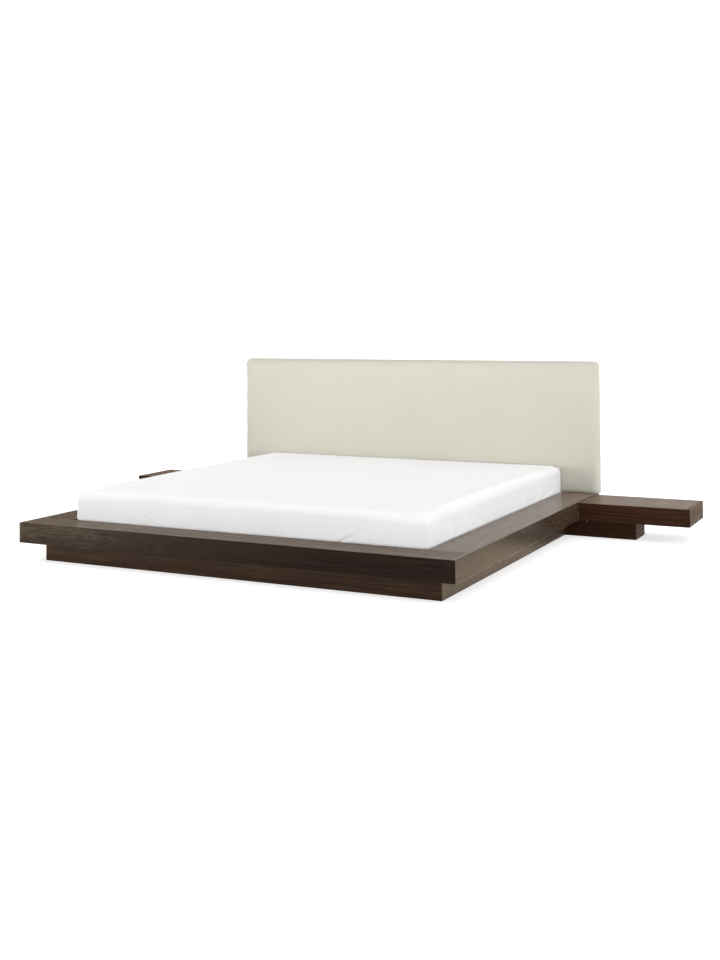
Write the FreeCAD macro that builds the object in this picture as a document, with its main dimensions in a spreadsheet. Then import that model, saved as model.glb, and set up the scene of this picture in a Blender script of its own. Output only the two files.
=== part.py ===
"""A low double bed: sunken mattress, wide ledge, padded headboard and two bedside wings.

Millimetres. X runs across the bed, Y from the foot to the head, Z up. The origin is the middle
of the floor area that the whole bed covers.
"""
import FreeCAD, Part
import math
import os

import Sketcher

doc = FreeCAD.newDocument("DoubleBed")
sheet = doc.addObject("Spreadsheet::Sheet", "Sizes")

SIZES = {
    # mattress and fitted sheet
    "mattress_width": 1800,
    "mattress_length": 2000,
    "mattress_height": 200,
    "mattress_corner": 35,
    "mattress_edge": 45,
    "mattress_gap": 6,
    "mattress_head_gap": 4,
    "sheet_thickness": 1.2,
    "sheet_slack": 0.3,
    "sheet_tuck": 120,
    # box-section rails round the mattress
    "ledge_width": 185,
    "rail_height": 95,
    "rail_wall": 16,
    "cap_thickness": 16,
    "edge_ease": 1.5,
    "end_block_length": 45,
    # recessed plinth
    "plinth_height": 91,
    "plinth_inset": 90,
    "plinth_wall": 18,
    "glue_block_leg": 45,
    "glue_block_drop": 12,
    # slats and what carries them
    "ledger_height": 22,
    "ledger_depth": 34,
    "slat_count": 15,
    "slat_width": 68,
    "slat_thickness": 16,
    "slat_ease": 2.5,
    "slat_margin": 20,
    "slat_play": 3,
    "tape_width": 25,
    "tape_thickness": 1.2,
    # centre beam, hangers and levelling feet
    "beam_width": 40,
    "beam_height": 70,
    "hanger_plate": 2.5,
    "hanger_depth": 40,
    "hanger_flange": 32,
    "hanger_height": 56,
    "hanger_play": 0.2,
    "foot_across": 36,
    "foot_height": 8,
    "stem_diameter": 8,
    "stem_length": 45,
    "stem_play": 0.3,
    "stem_hole_depth": 60,
    "insert_diameter": 12,
    "insert_length": 22,
    "insert_play": 0.1,
    # headboard
    "headboard_width": 2200,
    "headboard_top": 900,
    "headboard_thickness": 80,
    "headboard_lift": 15,
    "frame_setback": 3,
    "pad_wrap": 12,
    "pad_edge": 35,
    "pad_lower_edge": 15,
    "pad_crown": 8,
    "pad_clearance": 0.5,
    "seam_width": 8,
    "seam_depth": 3,
    "face_board_thickness": 5,
    "frame_thickness": 22,
    "stile_width": 160,
    "frame_rail_width": 90,
    "back_cover_thickness": 3,
    "back_cover_margin": 8,
    # hexagon bolts and captive nuts
    "bolt_diameter": 8,
    "bolt_play": 0.3,
    "bolt_head_across": 13,
    "bolt_head_height": 5.3,
    "bolt_pitch": 72,
    "nut_across": 13,
    "nut_height": 6.5,
    "washer_diameter": 22,
    "washer_thickness": 1.6,
    "recess_diameter": 25,
    "recess_depth": 9,
    "access_width": 120,
    "access_depth": 60,
    # bedside wings
    "wing_width": 557,
    "wing_depth": 362,
    "wing_height": 90,
    "wing_wall": 16,
    "wing_foot_reach": 278,
    "wing_foot_setback": 64,
    "wing_foot_depth": 195,
    "tie_plate_length": 120,
    "tie_plate_width": 36,
    "tie_plate_thickness": 3,
    "tie_plate_setback": 20,
    "tie_screw_reach": 32,
    "screw_diameter": 6,
    "screw_play": 0.2,
    "screw_head_across": 10,
    "screw_head_height": 4,
    "screw_bite": 12,
    # how far a cut runs past the face that it opens
    "overrun": 5,
}

# levelling feet along the beam, and tapes along a slat
FOOT_SHARES = {"front": 0.2, "middle": 0.5, "rear": 0.8}
TAPE_SHARES = (0.25, 0.75)
# height and draw-in of the mattress: shares of its height and of its soft edge
MATTRESS_SHARES = (
    (0.0, 0.3),
    (0.05, 0.1),
    (0.4, 0.0),
    (0.72, 0.07),
    (0.86, 0.28),
    (0.935, 0.62),
    (0.98, 1.2),
    (1.0, 2.4),
)
# rounding of the pad's ends: distance from the end and set-back, shares of the pad's edge radius
PAD_END_SHARES = ((0.0, 0.62), (0.1, 0.38), (0.3, 0.16), (0.62, 0.04), (1.0, 0.0))
# crown of each half of the pad: place along the half and share of the full crown
PAD_CROWN_SHARES = ((0.2, 0.75), (0.5, 1.0), (0.8, 0.75))
# crown at the pad's ends and seam
PAD_RIM_CROWN_SHARE = 0.4
# bottom of the seam: share of its half width
SEAM_FLOOR_SHARE = 0.3


class Size:
    """A length: its value now, and the sheet expression that it follows."""

    def __init__(self, text, value):
        self.text = text
        self.value = value

    @staticmethod
    def of(other):
        return other if isinstance(other, Size) else Size(repr(other), float(other))

    def __add__(self, other):
        other = Size.of(other)
        return Size(f"({self.text} + {other.text})", self.value + other.value)

    def __sub__(self, other):
        other = Size.of(other)
        return Size(f"({self.text} - {other.text})", self.value - other.value)

    def __mul__(self, other):
        other = Size.of(other)
        return Size(f"({self.text} * {other.text})", self.value * other.value)

    def __truediv__(self, other):
        other = Size.of(other)
        return Size(f"({self.text} / {other.text})", self.value / other.value)

    def __neg__(self):
        return Size(f"(-{self.text})", -self.value)


class Cells:
    """The sheet's cells by alias, each as a Size."""

    def __init__(self, sizes):
        for row, (name, number) in enumerate(sizes.items(), 1):
            sheet.set(f"A{row}", name)
            sheet.set(f"B{row}", str(number))
            sheet.setAlias(f"B{row}", name)
        doc.recompute()
        for name in sizes:
            setattr(self, name, Size(f"Sizes.{name}", float(sheet.get(name))))


c = Cells(SIZES)
ZERO = Size("0", 0.0)
nodes = []


# Building steps shared by the pieces


def origin_feature(body, role):
    return next(f for f in body.Origin.OriginFeatures if f.Role == role)


def piece(label):
    """An empty body that becomes the node called label."""
    body = doc.addObject("PartDesign::Body", label)
    body.Label = label
    nodes.append(body)
    return body


def arc_between(start, end, radius):
    """The arc that turns left round a corner from start to end."""
    chord = end.sub(start)
    left = FreeCAD.Vector(-chord.y, chord.x, 0).normalize()
    rise = math.sqrt(max(radius ** 2 - (chord.Length / 2) ** 2, 0.0))
    centre = start.add(end).multiply(0.5).add(left.multiply(rise))
    first = math.atan2(start.y - centre.y, start.x - centre.x)
    last = math.atan2(end.y - centre.y, end.x - centre.x)
    if last <= first:
        last += 2 * math.pi
    circle = Part.Circle(centre, FreeCAD.Vector(0, 0, 1), radius)
    return Part.ArcOfCircle(circle, first, last)


def bind(sketch, kind, *where_and_size):
    *where, size = where_and_size
    index = sketch.addConstraint(Sketcher.Constraint(kind, *where, size.value))
    sketch.setExpression(f"Constraints[{index}]", size.text)


def new_sketch(body, plane, start):
    """A sketch on one of the body's own planes, moved along the plane's axis to start."""
    sketch = body.newObject("Sketcher::SketchObject", f"{body.Name}_outline")
    sketch.AttachmentSupport = (origin_feature(body, f"{plane}_Plane"), [""])
    sketch.MapMode = "FlatFace"
    along = -start if plane == "XZ" else start
    sketch.setExpression("AttachmentOffset.Base.z", along.text)
    return sketch


def draw_outline(sketch, corners):
    """A closed outline, drawn to the left: (u, v), or (u, v, radius) where an arc starts."""
    first = sketch.GeometryCount
    points = [FreeCAD.Vector(corner[0].value, corner[1].value, 0) for corner in corners]
    count = len(corners)
    for i, corner in enumerate(corners):
        start, end = points[i], points[(i + 1) % count]
        rounded = len(corner) == 3
        edge = arc_between(start, end, corner[2].value) if rounded else Part.LineSegment(start, end)
        sketch.addGeometry(edge, False)
    for i in range(count):
        following = first + (i + 1) % count
        sketch.addConstraint(Sketcher.Constraint("Coincident", first + i, 2, following, 1))
    for i, corner in enumerate(corners):
        bind(sketch, "DistanceX", -1, 1, first + i, 1, corner[0])
        bind(sketch, "DistanceY", -1, 1, first + i, 1, corner[1])
        if len(corner) == 3:
            bind(sketch, "Radius", first + i, corner[2])


def draw_circles(sketch, centres, diameter):
    for u, v in centres:
        middle = FreeCAD.Vector(u.value, v.value, 0)
        circle = Part.Circle(middle, FreeCAD.Vector(0, 0, 1), diameter.value / 2)
        index = sketch.addGeometry(circle, False)
        bind(sketch, "DistanceX", -1, 1, index, 3, u)
        bind(sketch, "DistanceY", -1, 1, index, 3, v)
        bind(sketch, "Diameter", index, diameter)


def hexagon(u, v, across):
    corner = across / math.sqrt(3)
    turns = [k * math.pi / 3 for k in range(6)]
    return [(u + corner * math.cos(turn), v + corner * math.sin(turn)) for turn in turns]


def rectangle(u0, u1, v0, v1):
    return [(u0, v0), (u1, v0), (u1, v1), (u0, v1)]


def round_rectangle(u0, u1, v0, v1, r):
    return [
        (u0 + r, v0), (u1 - r, v0, r),
        (u1, v0 + r), (u1, v1 - r, r),
        (u1 - r, v1), (u0 + r, v1, r),
        (u0, v1 - r), (u0, v0 + r, r),
    ]


def add_feature(body, kind, sketch):
    feature = body.newObject(f"PartDesign::{kind}", f"{body.Name}_{kind.lower()}")
    feature.Profile = sketch
    return feature


def extrude(body, plane, sketch, length):
    """Pads a sketch by length in the plus direction of the plane's axis."""
    pad = add_feature(body, "Pad", sketch)
    pad.Reversed = plane == "XZ"
    pad.setExpression("Length", length.text)
    doc.recompute()


def add_prism(body, plane, start, length, *outlines):
    sketch = new_sketch(body, plane, start)
    for outline in outlines:
        draw_outline(sketch, outline)
    extrude(body, plane, sketch, length)


def add_rods(body, plane, start, length, centres, diameter):
    sketch = new_sketch(body, plane, start)
    draw_circles(sketch, centres, diameter)
    extrude(body, plane, sketch, length)


def add_hexagons(body, plane, start, length, centres, across):
    add_prism(body, plane, start, length, *(hexagon(u, v, across) for u, v in centres))


def remove(body, plane, sketch, length):
    """Cuts a sketch out by length in the plus direction of the plane's axis."""
    before = body.Shape.Volume
    pocket = add_feature(body, "Pocket", sketch)
    pocket.Reversed = plane != "XZ"
    pocket.setExpression("Length", length.text)
    doc.recompute()
    if body.Shape.Volume >= before:
        raise RuntimeError(f"a cut in {body.Label} removes nothing")


def cut_prism(body, plane, start, length, outline):
    sketch = new_sketch(body, plane, start)
    draw_outline(sketch, outline)
    remove(body, plane, sketch, length)


def cut_holes(body, plane, start, length, centres, diameter):
    sketch = new_sketch(body, plane, start)
    draw_circles(sketch, centres, diameter)
    remove(body, plane, sketch, length)


def ease_edges(body, size, chosen):
    """Takes the sharpness off the edges of the body's solid for which chosen(edge) is true."""
    base = body.Tip
    names = [f"Edge{i}" for i, edge in enumerate(base.Shape.Edges, 1) if chosen(edge)]
    chamfer = body.newObject("PartDesign::Chamfer", f"{body.Name}_ease")
    chamfer.Base = (base, names)
    chamfer.setExpression("Size", size.text)
    doc.recompute()


def runs_along(edge, axis):
    direction = edge.Vertexes[-1].Point.sub(edge.Vertexes[0].Point)
    return edge.Curve.TypeId == "Part::GeomLine" and abs(direction.normalize().dot(axis)) > 0.999


def outer_edges(body, axis):
    """A test for the edges along axis on the outside corners of the body's box."""
    box = body.Shape.BoundBox
    low = FreeCAD.Vector(box.XMin, box.YMin, box.ZMin)
    high = FreeCAD.Vector(box.XMax, box.YMax, box.ZMax)
    across = [i for i in range(3) if abs(axis[i]) < 0.5]

    def on_corner(edge):
        point = edge.Vertexes[0].Point
        near = [min(abs(point[i] - low[i]), abs(point[i] - high[i])) for i in across]
        return runs_along(edge, axis) and max(near) < 1e-6

    return on_corner


def mirror(label, source):
    """The left twin of a right-hand piece."""
    twin = doc.addObject("Part::Mirroring", label)
    twin.Label = label
    twin.Source = source
    twin.Normal = FreeCAD.Vector(1, 0, 0)
    nodes.append(twin)


def loft(body, kind, sections):
    """A solid, or a cut, with straight lines from each section to the next."""
    feature = add_feature(body, kind, sections[0])
    feature.Sections = sections[1:]
    feature.Ruled = True
    doc.recompute()


X_AXIS = FreeCAD.Vector(1, 0, 0)
Y_AXIS = FreeCAD.Vector(0, 1, 0)

# Places that several pieces share

well_half = c.mattress_width / 2 + c.mattress_gap
bed_half = well_half + c.ledge_width
ledge_top = c.plinth_height + c.rail_height
slat_bottom = c.plinth_height + c.ledger_height
slat_top = slat_bottom + c.slat_thickness

mattress_run = c.mattress_gap + c.mattress_length + c.mattress_head_gap
overall_length = c.ledge_width + mattress_run + c.headboard_thickness
back_y = overall_length / 2
foot_y = -back_y
well_front_y = foot_y + c.ledge_width
head_y = back_y - c.headboard_thickness
frame_back_y = back_y - c.back_cover_thickness
frame_front_y = frame_back_y - c.frame_thickness
face_board_y = frame_front_y - c.face_board_thickness
frame_half = bed_half - c.frame_setback
frame_top = c.headboard_top - c.pad_wrap
pad_bottom = ledge_top + c.pad_clearance

plinth_half = bed_half - c.plinth_inset
plinth_front_y = foot_y + c.plinth_inset
beam_front_y = plinth_front_y + c.plinth_wall
beam_back_y = frame_front_y - c.plinth_wall
beam_bottom = c.plinth_height - c.beam_height

bolt_z = c.plinth_height + c.rail_height / 2
rail_middle = bed_half - c.ledge_width / 2
bolt_xs = [rail_middle - c.bolt_pitch / 2, rail_middle + c.bolt_pitch / 2]
bolt_xs += [-x for x in bolt_xs]
bolt_hole = c.bolt_diameter + c.bolt_play * 2
screw_hole = c.screw_diameter + c.screw_play * 2

wing_end = bed_half + c.wing_width
wing_front_y = head_y - c.wing_depth
wing_foot_y = wing_front_y + c.wing_foot_setback
wing_foot_back_y = wing_foot_y + c.wing_foot_depth
wing_top = c.plinth_height + c.wing_height

# tie plates: one ahead of the wing's foot, one behind it
plate_ys = [wing_foot_y - c.tie_plate_setback, wing_foot_back_y + c.tie_plate_setback]
plate_bottom = c.plinth_height - c.tie_plate_thickness
tie_points_rail = [(bed_half - c.tie_screw_reach, y) for y in plate_ys]
tie_points_wing = [(bed_half + c.tie_screw_reach, y) for y in plate_ys]


def box_beam(body, plane, start, length, u0, u1, v0, v1, wall, axis):
    """A hollow beam, folded from one board, with eased outer edges."""
    outer = rectangle(u0, u1, v0, v1)
    inner = rectangle(u0 + wall, u1 - wall, v0 + wall, v1 - wall)
    add_prism(body, plane, start, length, outer, inner)
    ease_edges(body, c.edge_ease, outer_edges(body, axis))


def end_cap(body, start, length, outline):
    """A board over the open right-hand end of a beam, eased to match it and round its outer face."""
    add_prism(body, "YZ", start, length, outline)
    on_corner = outer_edges(body, X_AXIS)
    face_x = body.Shape.BoundBox.XMax
    on_face = lambda edge: abs(edge.CenterOfMass.x - face_x) < 1e-6
    ease_edges(body, c.edge_ease, lambda edge: on_corner(edge) or on_face(edge))


def make_foot_rail():
    rail = piece("foot_rail")
    half = bed_half - c.cap_thickness
    section = (foot_y, well_front_y, c.plinth_height, ledge_top)
    box_beam(rail, "YZ", -half, half * 2, *section, c.rail_wall, X_AXIS)
    bolt_points = [(x, bolt_z) for x in bolt_xs]
    wall_y = well_front_y - c.rail_wall
    cut_holes(rail, "XZ", wall_y - c.overrun, c.rail_wall + c.overrun * 2, bolt_points, bolt_hole)
    below = c.plinth_height - c.overrun
    for middle in (rail_middle, -rail_middle):
        left, right = middle - c.access_width / 2, middle + c.access_width / 2
        hatch = rectangle(left, right, wall_y - c.access_depth, wall_y)
        cut_prism(rail, "XY", below, c.rail_wall + c.overrun * 2, hatch)
    cap = piece("foot_rail_cap_right")
    end_cap(cap, half, c.cap_thickness, rectangle(*section))
    mirror("foot_rail_cap_left", cap)


def make_side_rails():
    rail = piece("side_rail_right")
    section = (well_half, bed_half, c.plinth_height, ledge_top)
    length = frame_front_y - well_front_y
    box_beam(rail, "XZ", well_front_y, length, *section, c.rail_wall, Y_AXIS)
    below = c.plinth_height - c.overrun
    cut_holes(rail, "XY", below, c.screw_bite + c.overrun + c.screw_play, tie_points_rail, screw_hole)
    mirror("side_rail_left", rail)


def make_head_rail():
    rail = piece("head_rail")
    section = (head_y, frame_front_y, c.plinth_height, ledge_top)
    box_beam(rail, "YZ", -well_half, well_half * 2, *section, c.rail_wall, X_AXIS)


def make_end_blocks():
    """Solid blocks glued into both ends of a side rail, drilled for the bolts."""
    blocks = piece("rail_end_blocks_right")
    hollow = rectangle(
        well_half + c.rail_wall, bed_half - c.rail_wall,
        c.plinth_height + c.rail_wall, ledge_top - c.rail_wall,
    )
    points = [(x, bolt_z) for x in bolt_xs if x.value > 0]
    for start in (well_front_y, frame_front_y - c.end_block_length):
        add_prism(blocks, "XZ", start, c.end_block_length, hollow)
        through = c.end_block_length + c.overrun * 2
        cut_holes(blocks, "XZ", start - c.overrun, through, points, bolt_hole)
    mirror("rail_end_blocks_left", blocks)


def make_nuts(label, start):
    """Captive nuts on the inner face of the end blocks."""
    nuts = piece(label)
    points = [(x, bolt_z) for x in bolt_xs]
    add_hexagons(nuts, "XZ", start, c.nut_height, points, c.nut_across)
    around = c.nut_height + c.overrun * 2
    cut_holes(nuts, "XZ", start - c.overrun, around, points, bolt_hole)


def make_corner_bolts():
    """From inside the foot rail, through its back wall and the side rails' blocks."""
    bolts = piece("corner_bolts")
    points = [(x, bolt_z) for x in bolt_xs]
    seat = well_front_y - c.rail_wall
    nut_y = well_front_y + c.end_block_length
    head = seat - c.bolt_head_height
    add_hexagons(bolts, "XZ", head, c.bolt_head_height, points, c.bolt_head_across)
    add_rods(bolts, "XZ", seat, nut_y + c.nut_height - seat, points, c.bolt_diameter)
    make_nuts("corner_nuts", nut_y)


def make_headboard_bolts():
    """From behind, through the stiles and the side rails' blocks."""
    points = [(x, bolt_z) for x in bolt_xs]
    seat = frame_back_y - c.recess_depth
    washers = piece("headboard_washers")
    add_rods(washers, "XZ", seat, c.washer_thickness, points, c.washer_diameter)
    around = c.washer_thickness + c.overrun * 2
    cut_holes(washers, "XZ", seat - c.overrun, around, points, bolt_hole)
    bolts = piece("headboard_bolts")
    head = seat + c.washer_thickness
    nut_y = frame_front_y - c.end_block_length - c.nut_height
    add_rods(bolts, "XZ", nut_y, head - nut_y, points, c.bolt_diameter)
    add_hexagons(bolts, "XZ", head, c.bolt_head_height, points, c.bolt_head_across)
    make_nuts("headboard_nuts", nut_y)


def make_plinth():
    front = piece("plinth_front")
    inner_half = plinth_half - c.plinth_wall
    mitred = [
        (-plinth_half, plinth_front_y), (plinth_half, plinth_front_y),
        (inner_half, beam_front_y), (-inner_half, beam_front_y),
    ]
    add_prism(front, "XY", ZERO, c.plinth_height, mitred)
    side = piece("plinth_right")
    mitred = [
        (plinth_half, plinth_front_y), (plinth_half, frame_front_y),
        (inner_half, frame_front_y), (inner_half, beam_front_y),
    ]
    add_prism(side, "XY", ZERO, c.plinth_height, mitred)
    mirror("plinth_left", side)
    back = piece("plinth_back")
    panel = rectangle(-inner_half, inner_half, beam_back_y, frame_front_y)
    add_prism(back, "XY", ZERO, c.plinth_height, panel)
    blocks = piece("plinth_glue_blocks")
    leg = c.glue_block_leg
    for side_x, inward in ((inner_half, -leg), (-inner_half, leg)):
        for y, along in ((beam_front_y, leg), (beam_back_y, -leg)):
            corners = [(side_x, y), (side_x + inward, y), (side_x, y + along)]
            turns_left = inward.value * along.value > 0
            triangle = corners if turns_left else corners[::-1]
            add_prism(blocks, "XY", ZERO, c.plinth_height - c.glue_block_drop, triangle)


def make_centre_beam():
    beam = piece("centre_beam")
    half = c.beam_width / 2
    section = rectangle(-half, half, beam_bottom, c.plinth_height)
    add_prism(beam, "XZ", beam_front_y, beam_back_y - beam_front_y, section)
    places = foot_places()
    low = beam_bottom - c.overrun
    insert_hole = c.insert_diameter + c.insert_play * 2
    cut_holes(beam, "XY", low, c.stem_hole_depth + c.overrun, places, insert_hole)
    inserts = piece("levelling_inserts")
    add_rods(inserts, "XY", beam_bottom, c.insert_length, places, c.insert_diameter)
    stem_hole = c.stem_diameter + c.stem_play * 2
    cut_holes(inserts, "XY", low, c.insert_length + c.overrun * 2, places, stem_hole)
    cleat = piece("centre_cleat")
    section = rectangle(-half, half, c.plinth_height, slat_bottom)
    add_prism(cleat, "XZ", well_front_y, head_y - well_front_y, section)


def foot_places():
    length = beam_back_y - beam_front_y
    return [(ZERO, beam_front_y + length * share) for share in FOOT_SHARES.values()]


def make_hangers():
    """Bent steel saddles that hang the beam from the plinth's front and back panels."""
    hangers = piece("beam_hangers")
    inner = c.beam_width / 2 + c.hanger_play
    outer = inner + c.hanger_plate
    wide = outer + c.hanger_flange
    low = beam_bottom - c.hanger_plate
    high = low + c.hanger_height
    saddle = [
        (-outer, low), (outer, low), (outer, high), (inner, high),
        (inner, beam_bottom), (-inner, beam_bottom), (-inner, high), (-outer, high),
    ]
    for start, flange_start in (
        (beam_front_y, beam_front_y),
        (beam_back_y - c.hanger_depth, beam_back_y - c.hanger_plate),
    ):
        add_prism(hangers, "XZ", start, c.hanger_depth, saddle)
        for u0, u1 in ((outer, wide), (-wide, -outer)):
            add_prism(hangers, "XZ", flange_start, c.hanger_plate, rectangle(u0, u1, low, high))


def make_levelling_feet():
    for name, place in zip(FOOT_SHARES, foot_places()):
        foot = piece(f"levelling_foot_{name}")
        add_hexagons(foot, "XY", ZERO, c.foot_height, [place], c.foot_across)
        add_rods(foot, "XY", c.foot_height, c.stem_length, [place], c.stem_diameter)


def make_ledgers():
    ledger = piece("slat_ledger_right")
    inner = well_half - c.ledger_depth
    section = rectangle(inner, well_half, c.plinth_height, slat_bottom)
    add_prism(ledger, "XZ", well_front_y, head_y - well_front_y, section)
    mirror("slat_ledger_left", ledger)


def make_slats():
    slats = piece("slats_right")
    inner, outer = c.slat_play, well_half - c.slat_play
    front = well_front_y + c.slat_margin
    spread = head_y - well_front_y - c.slat_margin * 2 - c.slat_width
    section = rectangle(front, front + c.slat_width, slat_bottom, slat_top)
    add_prism(slats, "YZ", inner, outer - inner, section)
    ease_edges(slats, c.slat_ease, outer_edges(slats, X_AXIS))
    row = slats.newObject("PartDesign::LinearPattern", "slat_row")
    row.TransformMode = "Whole shape"
    row.Direction = (origin_feature(slats, "Y_Axis"), [""])
    row.setExpression("Length", spread.text)
    row.setExpression("Occurrences", c.slat_count.text)
    slats.Tip = row
    doc.recompute()
    mirror("slats_left", slats)
    tapes = piece("slat_tapes_right")
    for share in TAPE_SHARES:
        middle = inner + (outer - inner) * share
        half = c.tape_width / 2
        section = rectangle(middle - half, middle + half, slat_bottom - c.tape_thickness, slat_bottom)
        add_prism(tapes, "XZ", front, spread + c.slat_width, section)
    mirror("slat_tapes_left", tapes)


def cushion_sections(body, inset):
    """The mattress outline at each height, drawn in by inset all round."""
    half = c.mattress_width / 2
    front = well_front_y + c.mattress_gap
    back = front + c.mattress_length
    height = c.mattress_height - inset * 2
    sections = []
    for height_share, edge_share in MATTRESS_SHARES:
        drawn = c.mattress_edge * edge_share + inset
        sketch = new_sketch(body, "XY", slat_top + inset + height * height_share)
        plan = (drawn - half, half - drawn, front + drawn, back - drawn)
        draw_outline(sketch, round_rectangle(*plan, c.mattress_corner))
        sections.append(sketch)
    return sections


def make_mattress():
    mattress = piece("mattress")
    loft(mattress, "AdditiveLoft", cushion_sections(mattress, c.sheet_thickness + c.sheet_slack))
    cover = piece("fitted_sheet")
    loft(cover, "AdditiveLoft", cushion_sections(cover, ZERO))
    loft(cover, "SubtractiveLoft", cushion_sections(cover, c.sheet_thickness))
    half = c.mattress_width / 2 - c.sheet_tuck
    front = well_front_y + c.mattress_gap + c.sheet_tuck
    back = head_y - c.mattress_head_gap - c.sheet_tuck
    opening = round_rectangle(-half, half, front, back, c.mattress_corner)
    cut_prism(cover, "XY", slat_top - c.overrun, c.overrun + c.sheet_thickness * 2, opening)


def pad_stations():
    """Where the pad's section is drawn: place along X, set-back, share of the crown."""
    half = c.headboard_width / 2
    seam = c.seam_width / 2
    panel = half - c.pad_edge - seam
    right = [(seam * SEAM_FLOOR_SHARE, c.seam_depth, PAD_RIM_CROWN_SHARE)]
    right.append((seam, ZERO, PAD_RIM_CROWN_SHARE))
    for place_share, crown_share in PAD_CROWN_SHARES:
        right.append((seam + panel * place_share, ZERO, crown_share))
    for distance_share, back_share in reversed(PAD_END_SHARES):
        end_x = half - c.pad_edge * distance_share
        right.append((end_x, c.pad_edge * back_share, PAD_RIM_CROWN_SHARE))
    left = [(-x, setback, crown_share) for x, setback, crown_share in reversed(right)]
    return left + right


def pad_section(setback, crown_share):
    """The pad seen from its end: bowed front, rounded top, softer lower edge."""
    crown = c.pad_crown * crown_share
    front = head_y + c.pad_crown + setback
    top = c.headboard_top - setback
    radius = c.pad_edge - setback
    lower = c.pad_lower_edge
    rise = top - radius - pad_bottom - lower
    bow = (rise * rise / 4 + crown * crown) / (crown * 2)
    return [
        (frame_back_y, pad_bottom), (frame_back_y, top),
        (front + radius, top, radius), (front, top - radius, bow),
        (front, pad_bottom + lower, lower), (front + lower, pad_bottom),
    ]


def make_headboard_pad():
    pad = piece("headboard_pad")
    sections = []
    for x, setback, crown_share in pad_stations():
        sketch = new_sketch(pad, "YZ", x)
        draw_outline(sketch, pad_section(setback, crown_share))
        sections.append(sketch)
    loft(pad, "AdditiveLoft", sections)
    half = frame_half + c.pad_clearance
    opening = rectangle(-half, half, pad_bottom - c.overrun, frame_top + c.pad_clearance)
    depth = frame_back_y - face_board_y + c.overrun
    cut_prism(pad, "XZ", face_board_y, depth, opening)


def make_headboard_frame():
    board = piece("headboard_face_board")
    outline = rectangle(-frame_half, frame_half, pad_bottom, frame_top)
    add_prism(board, "XZ", face_board_y, c.face_board_thickness, outline)
    stile = piece("headboard_stile_right")
    inner = frame_half - c.stile_width
    outline = rectangle(inner, frame_half, c.headboard_lift, frame_top)
    add_prism(stile, "XZ", frame_front_y, c.frame_thickness, outline)
    points = [(x, bolt_z) for x in bolt_xs if x.value > 0]
    through = c.frame_thickness + c.overrun * 2
    cut_holes(stile, "XZ", frame_front_y - c.overrun, through, points, bolt_hole)
    seat = frame_back_y - c.recess_depth
    cut_holes(stile, "XZ", seat, c.recess_depth + c.overrun, points, c.recess_diameter)
    mirror("headboard_stile_left", stile)
    width = c.frame_rail_width
    lows = {
        "bottom": c.headboard_lift,
        "middle": (c.headboard_lift + frame_top - width) / 2,
        "top": frame_top - width,
    }
    for name, low in lows.items():
        rail = piece(f"headboard_{name}_rail")
        add_prism(rail, "XZ", frame_front_y, c.frame_thickness, rectangle(-inner, inner, low, low + width))
    uprights = piece("headboard_centre_stiles")
    for below, above in (("bottom", "middle"), ("middle", "top")):
        outline = rectangle(-width / 2, width / 2, lows[below] + width, lows[above])
        add_prism(uprights, "XZ", frame_front_y, c.frame_thickness, outline)
    cover = piece("headboard_back_cover")
    half = frame_half - c.back_cover_margin
    outline = rectangle(-half, half, ledge_top + c.back_cover_margin, frame_top - c.back_cover_margin)
    add_prism(cover, "XZ", frame_back_y, c.back_cover_thickness, outline)


def make_wings():
    shell = piece("wing_shell_right")
    section = (wing_front_y, head_y, c.plinth_height, wing_top)
    length = c.wing_width - c.cap_thickness
    box_beam(shell, "YZ", bed_half, length, *section, c.wing_wall, X_AXIS)
    below = c.plinth_height - c.overrun
    cut_holes(shell, "XY", below, c.screw_bite + c.overrun + c.screw_play, tie_points_wing, screw_hole)
    mirror("wing_shell_left", shell)
    cap = piece("wing_end_cap_right")
    end_cap(cap, wing_end - c.cap_thickness, c.cap_thickness, rectangle(*section))
    mirror("wing_end_cap_left", cap)
    panel = piece("wing_inner_panel_right")
    wall = c.wing_wall
    outline = rectangle(
        wing_front_y + wall, head_y - wall, c.plinth_height + wall, wing_top - wall,
    )
    add_prism(panel, "YZ", bed_half, wall, outline)
    mirror("wing_inner_panel_left", panel)


def make_wing_feet():
    """Three mitred panels under each wing, butted to the side of the plinth."""
    wall = c.plinth_wall
    end = bed_half + c.wing_foot_reach
    inner_end = end - wall
    inner_front, inner_back = wing_foot_y + wall, wing_foot_back_y - wall
    panels = {
        "front": [
            (plinth_half, wing_foot_y), (end, wing_foot_y),
            (inner_end, inner_front), (plinth_half, inner_front),
        ],
        "end": [
            (end, wing_foot_y), (end, wing_foot_back_y),
            (inner_end, inner_back), (inner_end, inner_front),
        ],
        "back": [
            (plinth_half, inner_back), (inner_end, inner_back),
            (end, wing_foot_back_y), (plinth_half, wing_foot_back_y),
        ],
    }
    for name, outline in panels.items():
        panel = piece(f"wing_foot_{name}_right")
        add_prism(panel, "XY", ZERO, c.plinth_height, outline)
        mirror(f"wing_foot_{name}_left", panel)


def make_tie_plates():
    """Flat steel plates under each joint of wing and rail, with a screw into either."""
    plates = piece("wing_tie_plates")
    screws = piece("wing_tie_screws")
    half_length, half_width = c.tie_plate_length / 2, c.tie_plate_width / 2
    points = tie_points_rail + tie_points_wing
    points = points + [(-x, y) for x, y in points]
    for middle in (bed_half, -bed_half):
        for y in plate_ys:
            plate = rectangle(middle - half_length, middle + half_length, y - half_width, y + half_width)
            add_prism(plates, "XY", plate_bottom, c.tie_plate_thickness, plate)
    through = c.tie_plate_thickness + c.overrun * 2
    cut_holes(plates, "XY", plate_bottom - c.overrun, through, points, screw_hole)
    head = plate_bottom - c.screw_head_height
    add_hexagons(screws, "XY", head, c.screw_head_height, points, c.screw_head_across)
    shank = c.tie_plate_thickness + c.screw_bite
    add_rods(screws, "XY", plate_bottom, shank, points, c.screw_diameter)


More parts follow.
